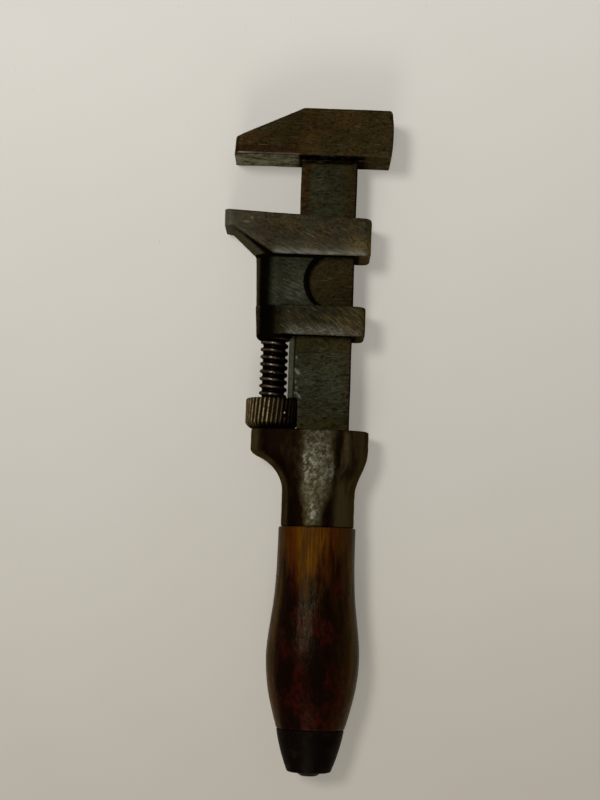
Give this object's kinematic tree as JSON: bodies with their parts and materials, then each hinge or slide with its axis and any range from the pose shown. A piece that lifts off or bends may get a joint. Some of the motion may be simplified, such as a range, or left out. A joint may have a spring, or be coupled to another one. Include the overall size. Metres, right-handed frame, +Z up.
{
  "type": "adjustable wrench",
  "caption": "Old screw-adjusted wrench: forged bar with hammer-headed fixed jaw, sliding jaw driven by a knurled wheel on a square-thread screw, iron ferrule and turned wooden grip.",
  "frame": {"origin": "middle of the fixed jaw's gripping face, on the tool's middle plane", "axes": "+Y along the bar from the gripping face towards the head's top, +X from the noses towards the hammer end, +Z up through the thickness, with the tool lying flat"},
  "size_m": [0.0641, 0.2552, 0.0306],
  "materials": {
    "forged_steel": "dark oiled patina, worn bright on the edges",
    "jaw_iron": "dark brown patina, satin",
    "screw_steel": "dark oiled patina, worn bright on the edges",
    "wheel_iron": "dark brown patina, satin",
    "pin_steel": "dark oiled patina, worn bright on the edges",
    "ferrule_iron": "dark brown patina, satin",
    "nut_steel": "dark oiled patina, worn bright on the edges",
    "varnished_wood": "dark red-brown varnish, glossy, worn to amber at the top",
    "cap_iron": "dark brown patina, satin"
  },
  "bodies": {
    "frame": {"bar_and_head": "forged_steel", "ferrule": "ferrule_iron", "ferrule_nut": "nut_steel", "handle_grip": "varnished_wood", "butt_cap": "cap_iron", "tang_nut": "nut_steel"},
    "screw": {"adjusting_screw": "screw_steel", "thumb_wheel": "wheel_iron", "wheel_pin": "pin_steel"},
    "jaw": {"sliding_jaw": "jaw_iron"}
  },
  "joints": [
    {"name": "jaw_slide", "type": "slide", "parent": "frame", "child": "jaw", "axis": [0, 1, 0], "range_m": [-0.02003, 0.0213]},
    {"name": "screw_turn", "type": "hinge", "parent": "frame", "child": "screw", "pos_m": [0.00515, -0.09353, 0], "axis": [0, 1, 0], "range_deg": [-2559.4, 2721.1]}
  ],
  "couplings": [
    {"joint": "screw_turn", "follows": "jaw_slide", "rad_per_m": 2228.1}
  ]
}
